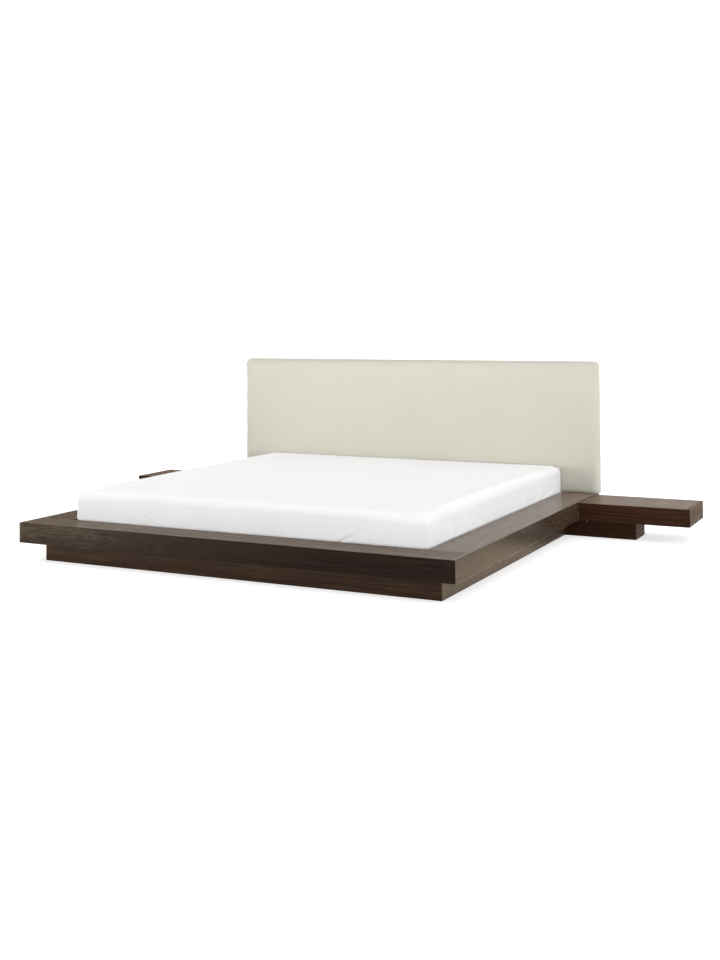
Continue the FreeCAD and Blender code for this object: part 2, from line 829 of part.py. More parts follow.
def write_parts():
    doc.recompute()
    failed = [o.Label for o in doc.Objects if {"Invalid", "Error"} & set(o.State)]
    failed += [n.Label for n in nodes if n.Shape.isNull() or not n.Shape.isValid()]
    if failed:
        raise RuntimeError(f"failed: {failed}")
    os.makedirs("parts", exist_ok=True)
    for node in nodes:
        node.Shape.exportStep(f"parts/{node.Label}.step")
        print(node.Label, len(node.Shape.Solids), round(node.Shape.Volume))


make_foot_rail()
make_side_rails()
make_head_rail()
make_end_blocks()
make_corner_bolts()
make_headboard_bolts()
make_plinth()
make_centre_beam()
make_hangers()
make_levelling_feet()
make_ledgers()
make_slats()
make_mattress()
make_headboard_pad()
make_headboard_frame()
make_wings()
make_wing_feet()
make_tie_plates()
write_parts()
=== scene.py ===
"""Dresses the low double bed in veneer, leather and linen, and sets it in a plain white studio."""
import math
from functools import reduce
from itertools import product

import bpy
import numpy as np
from bpy.props import FloatProperty, FloatVectorProperty, IntProperty, PointerProperty
from mathutils import Matrix, Vector


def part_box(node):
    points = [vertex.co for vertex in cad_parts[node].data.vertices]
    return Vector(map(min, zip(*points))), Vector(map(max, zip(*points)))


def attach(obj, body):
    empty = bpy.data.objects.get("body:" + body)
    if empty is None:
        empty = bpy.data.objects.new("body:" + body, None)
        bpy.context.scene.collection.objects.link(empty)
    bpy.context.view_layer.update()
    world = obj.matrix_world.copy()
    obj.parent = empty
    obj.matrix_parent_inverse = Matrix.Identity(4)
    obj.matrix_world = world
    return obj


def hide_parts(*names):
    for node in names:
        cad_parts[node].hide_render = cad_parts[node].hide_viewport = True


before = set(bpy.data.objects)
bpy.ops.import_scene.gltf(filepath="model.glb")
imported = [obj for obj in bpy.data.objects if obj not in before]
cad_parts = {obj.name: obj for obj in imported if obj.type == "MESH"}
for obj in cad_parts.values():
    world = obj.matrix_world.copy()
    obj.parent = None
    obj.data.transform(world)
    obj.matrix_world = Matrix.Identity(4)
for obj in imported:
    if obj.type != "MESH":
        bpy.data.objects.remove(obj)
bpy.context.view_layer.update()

bl_info = {
    "name": "Low double bed",
    "version": (1, 0, 0),
    "blender": (4, 5, 0),
    "location": "3D View > Sidebar > Bed",
    "description": "Finishes the bed's boards and fittings, makes its soft pieces and sets the studio",
    "category": "Object",
}

SHEET_LOW, SHEET_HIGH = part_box("fitted_sheet")
PAD_LOW, PAD_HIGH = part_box("headboard_pad")
BOARD_LOW, BOARD_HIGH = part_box("headboard_face_board")
COVER_LOW, COVER_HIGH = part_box("headboard_back_cover")
LEDGE_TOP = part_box("side_rail_right")[1].z

# Boards whose grain doesn't run along the longest side of their node
GRAIN_AXES = {"slats_right": "X", "slats_left": "X", "plinth_glue_blocks": "Z"}
# Boards that close the ends of the wings and of their feet
END_BOARDS = ("wing_end_cap", "wing_foot_end")

# Folds of the fitted sheet, by side. Each is (where it starts, where it ends, half width, depth):
# places are shares of the side's length and of the height that shows above the ledge, and the
# width and depth are shares of the fold sizes. A fold with a negative depth is a sharp crease.
FRONT_FOLD_SHARES = (
    ((0.119, 0.60), (0.207, 0.03), 0.35, -1.0),
    ((0.213, 0.51), (0.309, 0.00), 0.35, -1.1),
    ((0.200, 0.42), (0.258, 0.02), 0.4, -0.7),
    ((0.165, 0.42), (0.238, -0.02), 1.0, 0.6),
    ((0.236, 0.30), (0.285, -0.02), 0.8, 0.5),
    ((0.778, 0.00), (0.842, 0.377), 0.4, -1.3),
    ((0.765, 0.03), (0.819, 0.395), 0.7, 0.9),
    ((0.826, 0.03), (0.890, 0.32), 1.8, 1.1),
)
SIDE_FOLD_SHARES = (
    ((0.060, 0.00), (0.084, 0.36), 0.5, 1.5),
    ((0.126, 0.00), (0.172, 0.37), 0.6, 1.8),
    ((0.188, 0.02), (0.233, 0.31), 0.5, 1.5),
    ((0.228, 0.02), (0.282, 0.35), 0.6, 1.6),
    ((0.672, 0.00), (0.698, 0.33), 0.5, 1.6),
    ((0.754, 0.00), (0.808, 0.32), 0.7, 1.9),
    ((0.836, -0.03), (0.877, 0.33), 0.6, 2.1),
    ((0.879, 0.00), (0.972, 0.51), 0.7, 2.6),
)
# Where a fold swells and fades along its length, for folds that rise and that fall from their start
RISING_ENDS = ((-0.25, 0.1), (0.55, 1.1))
FALLING_ENDS = ((-0.1, 0.45), (0.9, 1.25))
# Dips beside a fold and rises beside the pad's seam: place and width as shares of the half width,
# and height as a share of the fold's height or the seam's depth
FOLD_DIP_SHARES = (2.2, 1.3, 0.4)
SEAM_RISE_SHARES = (3.0, 1.5, 0.12)
# Reach of the fine mesh to either side of the seam, as a share of the seam's half width
SEAM_REACH_SHARE = 8.0
# Upright parts of the normal between which the sheet's sides pass into its top
SIDE_TO_TOP = (0.35, 0.8)

# Slow waves of the sheet, all over it and on its sides only: radians per metre along X, Y and Z,
# phase, and share of the wave height
SHEET_WAVES = (
    ((5.3, -4.1, 0.0), 0.7 + math.pi / 2, 0.5),
    ((5.3, 4.1, 0.0), 1.5 - math.pi / 2, 0.5),
    ((11.7, 9.1, 0.0), 0.0, 0.5),
)
SIDE_WAVES = (((17.0, 17.0, 30.0), 0.0, 0.5),)

# Steps of the soft pieces' meshes. The sheet has one step for the front's folds and one for the sides'.
MATTRESS_STEP = 0.03
MATTRESS_LEVEL_STEP = 0.012
SHEET_STEP = 0.04
SHEET_EDGE_STEP = 0.012
SHEET_FOLD_STEPS = (0.0068, 0.0088)
SHEET_LEVEL_STEP = 0.0075
SHEET_LEDGE_STEP = 0.003
PAD_STEP = 0.018
PAD_LEVEL_STEP = 0.016
PAD_EDGE_STEP = 0.007
# Two lines of a mesh this close are one
SAME_PLACE = 0.0005
# Keeps a division from meeting zero
TINY = 1e-9
# Rounds of evening out after the stuffing
MATTRESS_ROUNDS = 4
PAD_ROUNDS = 40

WHITE = (1.0, 1.0, 1.0, 1.0)
BLACK = (0.0, 0.0, 0.0, 1.0)
# Scale at which a wave texture has about one band per unit
ONE_BAND = 0.31

# Rays to which the studio is plain white
WHITE_RAYS = ("Is Camera Ray", "Is Glossy Ray", "Is Transmission Ray")
# How closely the ring of low light keeps to the horizon
RING_POWER = 16.0
# Softboxes: place, what they point at, width and height, and watts
SOFTBOXES = {
    "key_softbox": ((3.8, -3.8, 4.9), (0.0, 0.0, 0.45), (3.4, 3.4), 20.0),
    "rim_softbox": ((3.6, 3.2, 3.2), (0.6, 1.1, 0.9), (2.0, 2.0), 14.0),
}
# Light panels on the floor: low and high corner, axis along which they fade, where on it
# the glow is full and where it ends, and its strength
GLOW_CARDS = {
    "foot_glow_card": ((-2.1, -2.4, 0.001), (0.6, -1.65, 0.004), "X", -1.7, 0.5, 42.0),
    "side_glow_card": ((1.01, -1.2, 0.001), (2.0, 0.7, 0.004), "Y", 0.2, 0.7, 1.5),
}
GLOW_SHADE = (255, 234, 204)
# Low and high corner of a dark panel behind the bed's left side
DARK_FLAG = ((-7.0, 4.0, 0.0), (-1.7, 4.02, 1.8))
FLAG_SHADE = (0.02, 0.02, 0.02, 1.0)
# Rays that don't see the light panels and the dark panel
CARD_HIDDEN_FROM = ("camera", "diffuse", "shadow", "transmission", "volume_scatter")
FLOOR_SIZE = 120.0
SENSOR_WIDTH = 36.0
VIEW_DEPTH = 200.0


# Settings


def linear(red, green, blue):
    """A colour given in screen values from 0 to 255, as the linear values that shaders take."""
    shares = [value / 255 for value in (red, green, blue)]
    return tuple(s / 12.92 if s <= 0.04045 else ((s + 0.055) / 1.055) ** 2.4 for s in shares)


def colour(name, description, red, green, blue):
    return FloatVectorProperty(
        name=name, description=description, default=linear(red, green, blue),
        subtype="COLOR", size=3, min=0.0, max=1.0,
    )


def length(name, description, default):
    return FloatProperty(
        name=name, description=description, default=default, min=0.0, unit="LENGTH", precision=4,
    )


def share(name, description, default):
    return FloatProperty(
        name=name, description=description, default=default, min=0.0, max=1.0, subtype="FACTOR",
    )


def angle(name, description, default):
    return FloatProperty(name=name, description=description, default=default, unit="ROTATION")


def strength(name, description, default):
    return FloatProperty(name=name, description=description, default=default, min=0.0)


class WoodProperties(bpy.types.PropertyGroup):
    """Veneer, lacquer and plain timber"""

    rail_ground: colour("Rail ground", "Main colour of the rails' veneer", 31, 20, 14)
    rail_light: colour("Rail light grain", "Lightest lines of the rails' veneer", 45, 31, 24)
    wing_ground: colour("Wing ground", "Main colour of the wings' veneer", 54, 32, 19)
    wing_light: colour("Wing light grain", "Lightest lines of the wings' veneer", 74, 47, 30)
    plinth_ground: colour("Plinth ground", "Main colour of the plinth's veneer", 54, 38, 27)
    plinth_light: colour("Plinth light grain", "Lightest lines of the plinth's veneer", 90, 69, 50)
    gloss: share("Lacquer gloss", "Strength of the lacquer's reflection seen straight on", 0.07)
    long_roughness: share("Roughness along", "Softness of the reflection on boards along the bed", 0.15)
    cross_roughness: share("Roughness across", "Softness of the reflection on boards across the bed", 0.34)
    end_roughness: share("Roughness of ends", "Softness of the reflection on the wings' end boards", 0.6)
    haze: share("Lacquer haze", "Strength of the lacquer's dull shine seen from low down", 0.25)
    haze_tint: colour("Haze tint", "Colour of the lacquer's dull shine", 255, 218, 178)
    timber: colour("Timber", "Plain softwood of slats, frames and beams", 205, 170, 125)
    board: colour("Board", "Pressed board behind the pad", 150, 116, 80)


class SoftProperties(bpy.types.PropertyGroup):
    """Mattress, sheet and headboard pad"""

    sheet_colour: colour("Sheet", "Colour of the fitted sheet", 237, 237, 237)
    ticking: colour("Ticking", "Colour of the mattress cover", 224, 220, 210)
    leather: colour("Leather", "Colour of the headboard's cover", 206, 203, 190)
    sheet_thickness: length("Sheet thickness", "Thickness of the sheet's cloth", 0.0012)
    tuck: length("Tuck", "How far the sheet reaches under the mattress", 0.12)
    edge_in: length("Edge inwards", "How far the soft top edge reaches inwards", 0.048)
    edge_down: length("Edge downwards", "How far the soft top edge reaches downwards", 0.04)
    lower_edge: length("Lower edge", "Radius of the mattress's lower edge", 0.014)
    corner: length("Corner", "Radius of the mattress's foot corners, seen from above", 0.028)
    head_corner: length("Head corner", "Radius of the mattress's head corners, seen from above", 0.012)
    corner_sink: length("Corner sink", "How far the sheet draws the mattress's foot corners down", 0.014)
    sink_reach: length("Sink reach", "How far from a foot corner the mattress sinks", 0.17)
    crown: length("Crown", "Rise of the mattress's middle over its rim", 0.003)
    bulge: length("Bulge", "How far the mattress's sides swell where they meet the ledge", 0.0045)
    contact: length("Contact", "Height over which the sides turn in where they meet the ledge", 0.006)
    bulge_reach: length("Bulge reach", "Height over which the swelling fades", 0.07)
    slack: length("Slack", "Room between the mattress and the outside of its sheet", 0.005)
    fold_width: length("Fold width", "Half width of a usual fold in the sheet", 0.013)
    fold_depth: length("Fold depth", "Height of a usual fold in the sheet", 0.0024)
    fold_room: length("Fold room", "Most that a fold stands out just above the ledge", 0.0035)
    room_reach: length("Room reach", "Height over which the fold room counts", 0.01)
    wave: length("Wave", "Height of the slow waves in the sheet", 0.0006)
    pad_edge: length("Pad edge", "Radius of the pad's edges", 0.035)
    pad_corner: length("Pad corner", "Radius of the pad's upper corners, seen from the front", 0.028)
    pad_back_edge: length("Pad back edge", "Radius of the pad's edges at the back", 0.008)
    pad_swell: length("Pad swell", "Most that the stuffing moves the pad's front", 0.005)
    leather_lip: length("Leather lip", "Thickness of the leather that turns in behind the frame", 0.0012)
    seam_width: length("Seam width", "Half width of the groove along the pad's seam", 0.0025)
    seam_depth: length("Seam depth", "Depth of the groove along the pad's seam", 0.0013)
    pressure: strength("Stuffing", "Pressure of the stuffing in the soft pieces", 4.0)
    frames: IntProperty(
        name="Frames", description="Steps of the stuffing's simulation", default=20, min=1,
    )


class StudioProperties(bpy.types.PropertyGroup):
    """Camera, floor and lights"""

    camera_place: FloatVectorProperty(
        name="Camera", description="Where the camera stands", size=3, subtype="TRANSLATION",
        unit="LENGTH", default=(2.8906, -6.0071, 1.1407),
    )
    camera_turn: angle("Turn", "Turn of the camera from the bed's length", 0.50133)
    camera_tilt: angle("Tilt", "Tilt of the camera upwards", 0.02018)
    camera_roll: angle("Roll", "Roll of the camera about its own view", -0.00664)
    focal_length: FloatProperty(
        name="Focal length", description="Lens, in millimetres, on a 36 mm long side", default=48.648,
    )
    camera_shift: FloatVectorProperty(
        name="Shift", description="Lens shift, in shares of the long side", size=2,
        default=(0.10417, -0.19418),
    )
    floor: colour("Floor", "Colour of the floor", 235, 235, 234)
    fill: strength("Fill", "Strength of the light that comes evenly from all round", 0.755)
    side_light: strength("Side light", "Strength of the low light from all sides, at the horizon", 10.8)
    floor_glow: share("Floor glow", "Share of the floor's white that holds no shadow", 0.66)


# Finishes


class Shading:
    """The nodes of a material or a world while they are put together."""

    def __init__(self, owner):
        owner.use_nodes = True
        self.nodes = owner.node_tree.nodes
        self.links = owner.node_tree.links

    def feed(self, node, inputs):
        for key, value in inputs.items():
            if isinstance(value, bpy.types.NodeSocket):
                self.links.new(value, node.inputs[key])
            else:
                node.inputs[key].default_value = value

    def add(self, kind, inputs, **settings):
        node = self.nodes.new(kind)
        for key, value in settings.items():
            setattr(node, key, value)
        self.feed(node, inputs)
        return node

    def math(self, operation, *values, **settings):
        inputs = dict(enumerate(values))
        return self.add("ShaderNodeMath", inputs, operation=operation, **settings).outputs[0]


class Finish(Shading):
    """A material whose patterns read Object coordinates."""

    def __init__(self, name):
        self.material = bpy.data.materials.new(name)
        super().__init__(self.material)
        self.shader = self.nodes["Principled BSDF"]
        self.place = self.nodes.new("ShaderNodeTexCoord").outputs["Object"]

    def surface(self, inputs):
        self.feed(self.shader, inputs)

    def scaled(self, cycles):
        """The place on the object, with that many cycles per metre along X, Y and Z."""
        return self.add("ShaderNodeMapping", {"Vector": self.place, "Scale": cycles}).outputs[0]

    def noise(self, cycles, detail=2.0, roughness=0.5, distortion=0.0):
        inputs = {
            "Vector": self.scaled(cycles), "Scale": 1.0, "Detail": detail,
            "Roughness": roughness, "Distortion": distortion,
        }
        return self.add("ShaderNodeTexNoise", inputs).outputs["Fac"]

    def grain(self, axis, along, across, **settings):
        """Noise drawn out along one axis, with cycles per metre along it and across it."""
        cycles = [along if name == axis else across for name in "XYZ"]
        return self.noise(cycles, **settings)

    def sum_of(self, *parts):
        """The sum of patterns, each given with its share."""
        shares = [self.math("MULTIPLY", pattern, part) for pattern, part in parts]
        return reduce(lambda first, second: self.math("ADD", first, second), shares)

    def remap(self, value, low, high, to_low, to_high):
        inputs = {
            "Value": value, "From Min": low, "From Max": high, "To Min": to_low, "To Max": to_high,
        }
        return self.add("ShaderNodeMapRange", inputs).outputs["Result"]

    def blend(self, factor, first, second):
        inputs = {0: factor, 6: first, 7: second}
        return self.add("ShaderNodeMix", inputs, data_type="RGBA").outputs[2]

    def ramp(self, factor, *stops):
        node = self.add("ShaderNodeValToRGB", {"Fac": factor})
        elements = node.color_ramp.elements
        while len(elements) < len(stops):
            elements.new(0.5)
        for element, (place, shade) in zip(elements, stops):
            element.position = place
            element.color = shade
        return node.outputs["Color"]

    def bump(self, height, distance, strength=1.0):
        inputs = {"Height": height, "Distance": distance, "Strength": strength}
        self.surface({"Normal": self.add("ShaderNodeBump", inputs).outputs["Normal"]})


def opaque(shade, level=1.0):
    """A colour at a level of brightness, with full alpha."""
    return (*(channel * level for channel in shade), 1.0)


def veneer(name, axis, ground, light, softness):
    """Dark veneer under satin lacquer: broad figure, streaks, fine lines and open pores."""
    wood = bpy.context.scene.bed_wood
    finish = Finish(name)
    figure = finish.grain(axis, along=0.9, across=16, detail=3, roughness=0.6, distortion=0.8)
    streaks = finish.grain(axis, along=2.6, across=150, detail=3, roughness=0.6, distortion=0.3)
    lines = finish.grain(axis, along=6, across=520, detail=2)
    pores = finish.grain(axis, along=28, across=1300, detail=1)
    mixed = finish.sum_of((figure, 0.2), (streaks, 0.35), (lines, 0.45))
    shade = finish.ramp(
        mixed, (0.34, opaque(ground, 0.64)), (0.5, opaque(ground)), (0.68, opaque(light)),
    )
    open_pores = finish.remap(pores, 0.58, 0.7, 0.0, 1.0)
    shade = finish.blend(finish.math("MULTIPLY", open_pores, 0.55), shade, opaque(ground, 0.3))
    roughness = finish.remap(mixed, 0.38, 0.62, softness * 0.4, softness * 1.6)
    finish.surface({
        "Base Color": shade, "Roughness": roughness, "Specular IOR Level": wood.gloss,
        "Sheen Weight": wood.haze, "Sheen Roughness": 0.3, "Sheen Tint": opaque(wood.haze_tint),
    })
    finish.bump(finish.math("SUBTRACT", lines, open_pores), 0.0003)
    return finish.material


def timber(name, axis, ground):
    """Plain planed timber: pale ground with growth lines and small specks."""
    finish = Finish(name)
    rings = finish.grain(axis, along=0.9, across=45, detail=3, roughness=0.6, distortion=1.2)
    lines = finish.grain(axis, along=5, across=420, detail=2)
    mixed = finish.sum_of((rings, 0.75), (lines, 0.25))
    shade = finish.ramp(
        mixed, (0.36, opaque(ground, 0.62)), (0.52, opaque(ground)), (0.7, opaque(ground, 1.12)),
    )
    finish.surface({"Base Color": shade, "Roughness": 0.72, "Specular IOR Level": 0.3})
    finish.bump(lines, 0.0002, 0.4)
    return finish.material


def pressed_board(name, ground):
    """Pressed fibre board: short flecks in every direction."""
    finish = Finish(name)
    flecks = finish.noise((180, 180, 180), detail=4, roughness=0.7)
    shade = finish.ramp(flecks, (0.35, opaque(ground, 0.7)), (0.65, opaque(ground, 1.15)))
    finish.surface({"Base Color": shade, "Roughness": 0.8, "Specular IOR Level": 0.2})
    finish.bump(flecks, 0.0003, 0.3)
    return finish.material


def zinc(name):
    """Zinc-plated steel: fine drawn lines and cloudy patches."""
    finish = Finish(name)
    clouds = finish.noise((60, 60, 60), detail=3)
    lines = finish.noise((2400, 90, 2400), detail=1)
    shade = finish.ramp(clouds, (0.3, (0.5, 0.51, 0.52, 1)), (0.7, (0.68, 0.69, 0.69, 1)))
    roughness = finish.remap(lines, 0.3, 0.7, 0.26, 0.42)
    finish.surface({"Base Color": shade, "Metallic": 1.0, "Roughness": roughness})
    finish.bump(lines, 0.00005, 0.3)
    return finish.material


def moulded_plastic(name):
    """Black moulded plastic with a fine grain."""
    finish = Finish(name)
    grain = finish.noise((900, 900, 900), detail=2)
    shade = finish.ramp(grain, (0.3, (0.014, 0.014, 0.015, 1)), (0.7, (0.024, 0.024, 0.026, 1)))
    finish.surface({"Base Color": shade, "Roughness": 0.55, "Specular IOR Level": 0.4})
    finish.bump(grain, 0.00012, 0.5)
    return finish.material


def backing_cloth(name):
    """Black bonded dust cloth: felted fibres."""
    finish = Finish(name)
    fibres = finish.noise((700, 700, 700), detail=4, roughness=0.75, distortion=1.5)
    shade = finish.ramp(fibres, (0.35, (0.006, 0.006, 0.007, 1)), (0.7, (0.03, 0.03, 0.032, 1)))
    finish.surface({"Base Color": shade, "Roughness": 0.95, "Specular IOR Level": 0.15})
    finish.bump(fibres, 0.0004, 0.5)
    return finish.material


def threads(finish, cycles):
    """The height of a plain weave with that many threads per metre."""
    waves = []
    for direction in "XY":
        inputs = {"Vector": finish.scaled((cycles, cycles, cycles)), "Scale": ONE_BAND}
        settings = {"wave_type": "BANDS", "bands_direction": direction}
        waves.append(finish.add("ShaderNodeTexWave", inputs, **settings).outputs["Fac"])
    return finish.math("MAXIMUM", *waves)


def webbing(name):
    """Grey woven tape."""
    finish = Finish(name)
    weave = threads(finish, 900)
    shade = finish.ramp(weave, (0.0, opaque(linear(120, 116, 108))), (1.0, opaque(linear(176, 171, 160))))
    finish.surface({"Base Color": shade, "Roughness": 0.85, "Specular IOR Level": 0.2})
    finish.bump(weave, 0.0003, 0.5)
    return finish.material


def cotton(name):
    """White cotton: a fine weave, hardly seen from a step away."""
    soft = bpy.context.scene.bed_soft
    finish = Finish(name)
    clouds = finish.noise((7, 7, 7), detail=3)
    weave = threads(finish, 1500)
    shade = finish.ramp(
        clouds, (0.3, opaque(soft.sheet_colour, 0.975)), (0.7, opaque(soft.sheet_colour)),
    )
    finish.surface({
        "Base Color": shade, "Roughness": 0.9, "Diffuse Roughness": 1.0,
        "Specular IOR Level": 0.2, "Sheen Weight": 0.55,
    })
    finish.bump(weave, 0.0001, 0.25)
    return finish.material


def ticking(name):
    """Mattress cover: a coarse knitted ground."""
    soft = bpy.context.scene.bed_soft
    finish = Finish(name)
    knit = threads(finish, 500)
    clouds = finish.noise((30, 30, 30), detail=2)
    shade = finish.ramp(clouds, (0.3, opaque(soft.ticking, 0.9)), (0.7, opaque(soft.ticking)))
    finish.surface({"Base Color": shade, "Roughness": 0.92, "Specular IOR Level": 0.2})
    finish.bump(knit, 0.0004, 0.5)
    return finish.material


def leather(name):
    """Cream leather: pebbled grain with painted shade in its creases, faint clouds and a soft satin."""
    soft = bpy.context.scene.bed_soft
    finish = Finish(name)
    clouds = finish.noise((5, 5, 5), detail=3)
    inputs = {"Vector": finish.scaled((620, 620, 620)), "Scale": 1.0}
    pebbles = finish.add("ShaderNodeTexVoronoi", inputs, feature="DISTANCE_TO_EDGE").outputs["Distance"]
    creases = finish.remap(pebbles, 0.0, 0.16, 0.0, 1.0)
    shade = finish.ramp(clouds, (0.3, opaque(soft.leather, 0.97)), (0.7, opaque(soft.leather)))
    # Painted shade: the pebble grain's creases are darkened to 0.86 of the leather's colour
    shade = finish.blend(creases, opaque(soft.leather, 0.86), shade)
    roughness = finish.remap(clouds, 0.3, 0.7, 0.5, 0.6)
    finish.surface({"Base Color": shade, "Roughness": roughness, "Specular IOR Level": 0.4})
    finish.bump(creases, 0.00015, 0.3)
    return finish.material


def nodes_of(slot):
    """The CAD nodes that the record gives that material."""
    found = [n for n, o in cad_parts.items() if o.data.materials[0].name.split(".")[0] == slot]
    if not found:
        raise RuntimeError(f"no node has the finish {slot}")
    return sorted(found)


def grain_axis(node):
    low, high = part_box(node)
    sides = list(high - low)
    return GRAIN_AXES.get(node, "XYZ"[sides.index(max(sides))])


def dress(nodes, finish_for):
    """Gives each node the finish that finish_for makes, one for each of its keys."""
    made = {}
    for node in nodes:
        key, make = finish_for(node)
        if key not in made:
            made[key] = make(key)
        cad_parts[node].data.materials[0] = made[key]


# Soft pieces


def grid_lines(low, high, step, spans=()):
    """Places from low to high, a step apart, and closer in the spans, which are (start, end, step)."""
    lines = [low]
    while lines[-1] < high:
        place = lines[-1] + SAME_PLACE
        gap = min([step] + [closer for start, end, closer in spans if start <= place < end])
        starts = [start for start, *_ in spans if place < start < lines[-1] + gap]
        lines.append(min([lines[-1] + gap] + starts))
    stretch = (high - low) / (lines[-1] - low)
    return [low + (line - low) * stretch for line in lines]


def box_skin(name, xs, ys, zs, rim=math.inf):
    """The skin of a box, in quads along those lines. Its underside is open inside the rim."""
    ends = (len(xs) - 1, len(ys) - 1, len(zs) - 1)
    index, points, faces = {}, [], []

    def corner(place):
        if place not in index:
            index[place] = len(points)
            points.append((xs[place[0]], ys[place[1]], zs[place[2]]))
        return index[place]

    def quad(corners, outward):
        faces.append([corner(place) for place in (corners if outward else corners[::-1])])

    for i, j in product(range(ends[0]), range(ends[1])):
        inset = min(xs[i + 1] - xs[0], xs[-1] - xs[i], ys[j + 1] - ys[0], ys[-1] - ys[j])
        quad([(i, j, ends[2]), (i + 1, j, ends[2]), (i + 1, j + 1, ends[2]), (i, j + 1, ends[2])], True)
        if inset < rim:
            quad([(i, j, 0), (i + 1, j, 0), (i + 1, j + 1, 0), (i, j + 1, 0)], False)
    for (i, k), j in product(product(range(ends[0]), range(ends[2])), (0, ends[1])):
        quad([(i, j, k), (i + 1, j, k), (i + 1, j, k + 1), (i, j, k + 1)], j == 0)
    for (j, k), i in product(product(range(ends[1]), range(ends[2])), (0, ends[0])):
        quad([(i, j, k), (i, j + 1, k), (i, j + 1, k + 1), (i, j, k + 1)], i > 0)

    mesh = bpy.data.meshes.new(name)
    mesh.from_pydata(points, [], faces)
    mesh.shade_smooth()
    piece = bpy.data.objects.new(name, mesh)
    bpy.context.scene.collection.objects.link(piece)
    return piece


def get_points(piece):
    flat = np.empty(len(piece.data.vertices) * 3)
    piece.data.vertices.foreach_get("co", flat)
    return flat.reshape(-1, 3)


def set_points(piece, points):
    piece.data.vertices.foreach_set("co", points.ravel())
    piece.data.update()


def get_normals(piece):
    flat = np.empty(len(piece.data.vertices) * 3)
    piece.data.vertex_normals.foreach_get("vector", flat)
    return flat.reshape(-1, 3)


def smooth_step(low, high, value):
    t = np.clip((value - low) / (high - low), 0, 1)
    return t * t * (3 - 2 * t)


def round_edge(inset, depth, edge_in, edge_down):
    """Carries places near a square edge to the quarter ellipse inside it."""
    a = np.clip(1 - inset / edge_in, 0, 1)
    b = np.clip(1 - depth / edge_down, 0, 1)
    ratio = np.maximum(a, b) / np.maximum(np.hypot(a, b), TINY)
    new_inset = np.where(a > 0, edge_in * (1 - a * ratio), inset)
    new_depth = np.where(b > 0, edge_down * (1 - b * ratio), depth)
    return new_inset, new_depth


def round_block(plan, level, half, height, corner, upper_edge, lower_edge):
    """Rounds a block's skin: its corners seen from above, its upper edge and its lower edge.

    Takes places from the middle of the plan and levels from the underside. Each edge is
    (reach inwards, reach along the height). Gives the new plan, the new levels and the insets.
    """
    inset = (half - np.abs(plan)).min(axis=1)
    upper_in, upper = round_edge(inset, height - level, *upper_edge)
    lower_in, lower = round_edge(inset, level, *lower_edge)
    above = level > height / 2
    drawn = np.where(above, upper_in, lower_in)
    level = np.where(above, height - upper, lower)
    ring = half - drawn[:, None]
    plan = plan * ring / np.maximum(half - inset[:, None], TINY)
    turn = np.maximum(corner - drawn, corner / 10)[:, None]
    core = np.clip(plan, np.minimum(turn - ring, 0), np.maximum(ring - turn, 0))
    out = plan - core
    ratio = np.abs(out).max(axis=1) / np.maximum(np.hypot(*out.T), TINY)
    return core + out * ratio[:, None], level, drawn


def soften_mattress(piece, low, high):
    """Rounds a box skin into a mattress. Where it meets the ledge it swells, but not at the head."""
    soft = bpy.context.scene.bed_soft
    points = get_points(piece)
    middle = np.array((low + high) / 2)[:2]
    half = np.array((high - low) / 2)[:2]
    upper_edge = (soft.edge_in, soft.edge_down)
    lower_edge = (soft.lower_edge, soft.lower_edge)
    plan = points[:, :2] - middle
    corner = np.where(plan[:, 1] > 0, soft.head_corner, soft.corner)
    plan, level, drawn = round_block(
        plan, points[:, 2] - low.z, half, high.z - low.z, corner, upper_edge, lower_edge,
    )
    level += low.z
    corner_distance = np.hypot(half[0] - np.abs(plan[:, 0]), half[1] + plan[:, 1])
    sink = soft.corner_sink * np.exp(-(corner_distance / soft.sink_reach) ** 2)
    level -= sink * smooth_step(LEDGE_TOP, high.z, level)
    bow = np.clip((1 - (plan / half) ** 2).prod(axis=1), 0, 1)
    level += np.where(points[:, 2] > LEDGE_TOP, soft.crown * bow, 0)
    swell = soft.bulge * np.exp(-((level - LEDGE_TOP) / soft.bulge_reach) ** 2)
    swell *= smooth_step(LEDGE_TOP - soft.contact / 4, LEDGE_TOP + soft.contact, level)
    swell *= np.clip(1 - drawn / soft.edge_in, 0, 1)
    swell *= 1 - smooth_step(half[1] - soft.sink_reach, half[1] - soft.edge_in, plan[:, 1])
    plan *= 1 + swell[:, None] / half
    set_points(piece, np.column_stack((plan + middle, level)))


def even_out(piece, field, rounds):
    """Averages a field of vectors over neighbouring points, that many times."""
    edges = np.empty(len(piece.data.edges) * 2, dtype=np.int32)
    piece.data.edges.foreach_get("vertices", edges)
    first, second = edges.reshape(-1, 2).T
    count = np.bincount(edges, minlength=len(field))[:, None]
    for _ in range(rounds):
        total = np.zeros_like(field)
        np.add.at(total, first, field[second])
        np.add.at(total, second, field[first])
        field = (field + total / count) / 2
    return field


def stuff(piece, held, most, rounds):
    """Swells a piece by cloth simulation. Held points stay, and no point moves further than most."""
    scene = bpy.context.scene
    soft = scene.bed_soft
    before = get_points(piece)
    group = piece.vertex_groups.new(name="held")
    group.add([int(i) for i in np.flatnonzero(held)], 1.0, "REPLACE")
    cloth = piece.modifiers.new("stuffing", "CLOTH")
    cloth.settings.vertex_group_mass = group.name
    cloth.settings.use_pressure = True
    cloth.settings.uniform_pressure_force = soft.pressure
    cloth.settings.effector_weights.gravity = 0.0
    cloth.point_cache.frame_end = soft.frames
    for step in range(1, soft.frames + 1):
        scene.frame_set(step)
    bpy.ops.object.select_all(action="DESELECT")
    bpy.context.view_layer.objects.active = piece
    piece.select_set(True)
    bpy.ops.object.modifier_apply(modifier=cloth.name)
    scene.frame_set(1)
    piece.vertex_groups.remove(piece.vertex_groups["held"])
    moved = even_out(piece, get_points(piece) - before, rounds)
    moved[held] = 0
    far = np.linalg.norm(moved, axis=1)
    capped = most * np.tanh(far / most)
    set_points(piece, before + moved * (capped / np.maximum(far, TINY))[:, None])


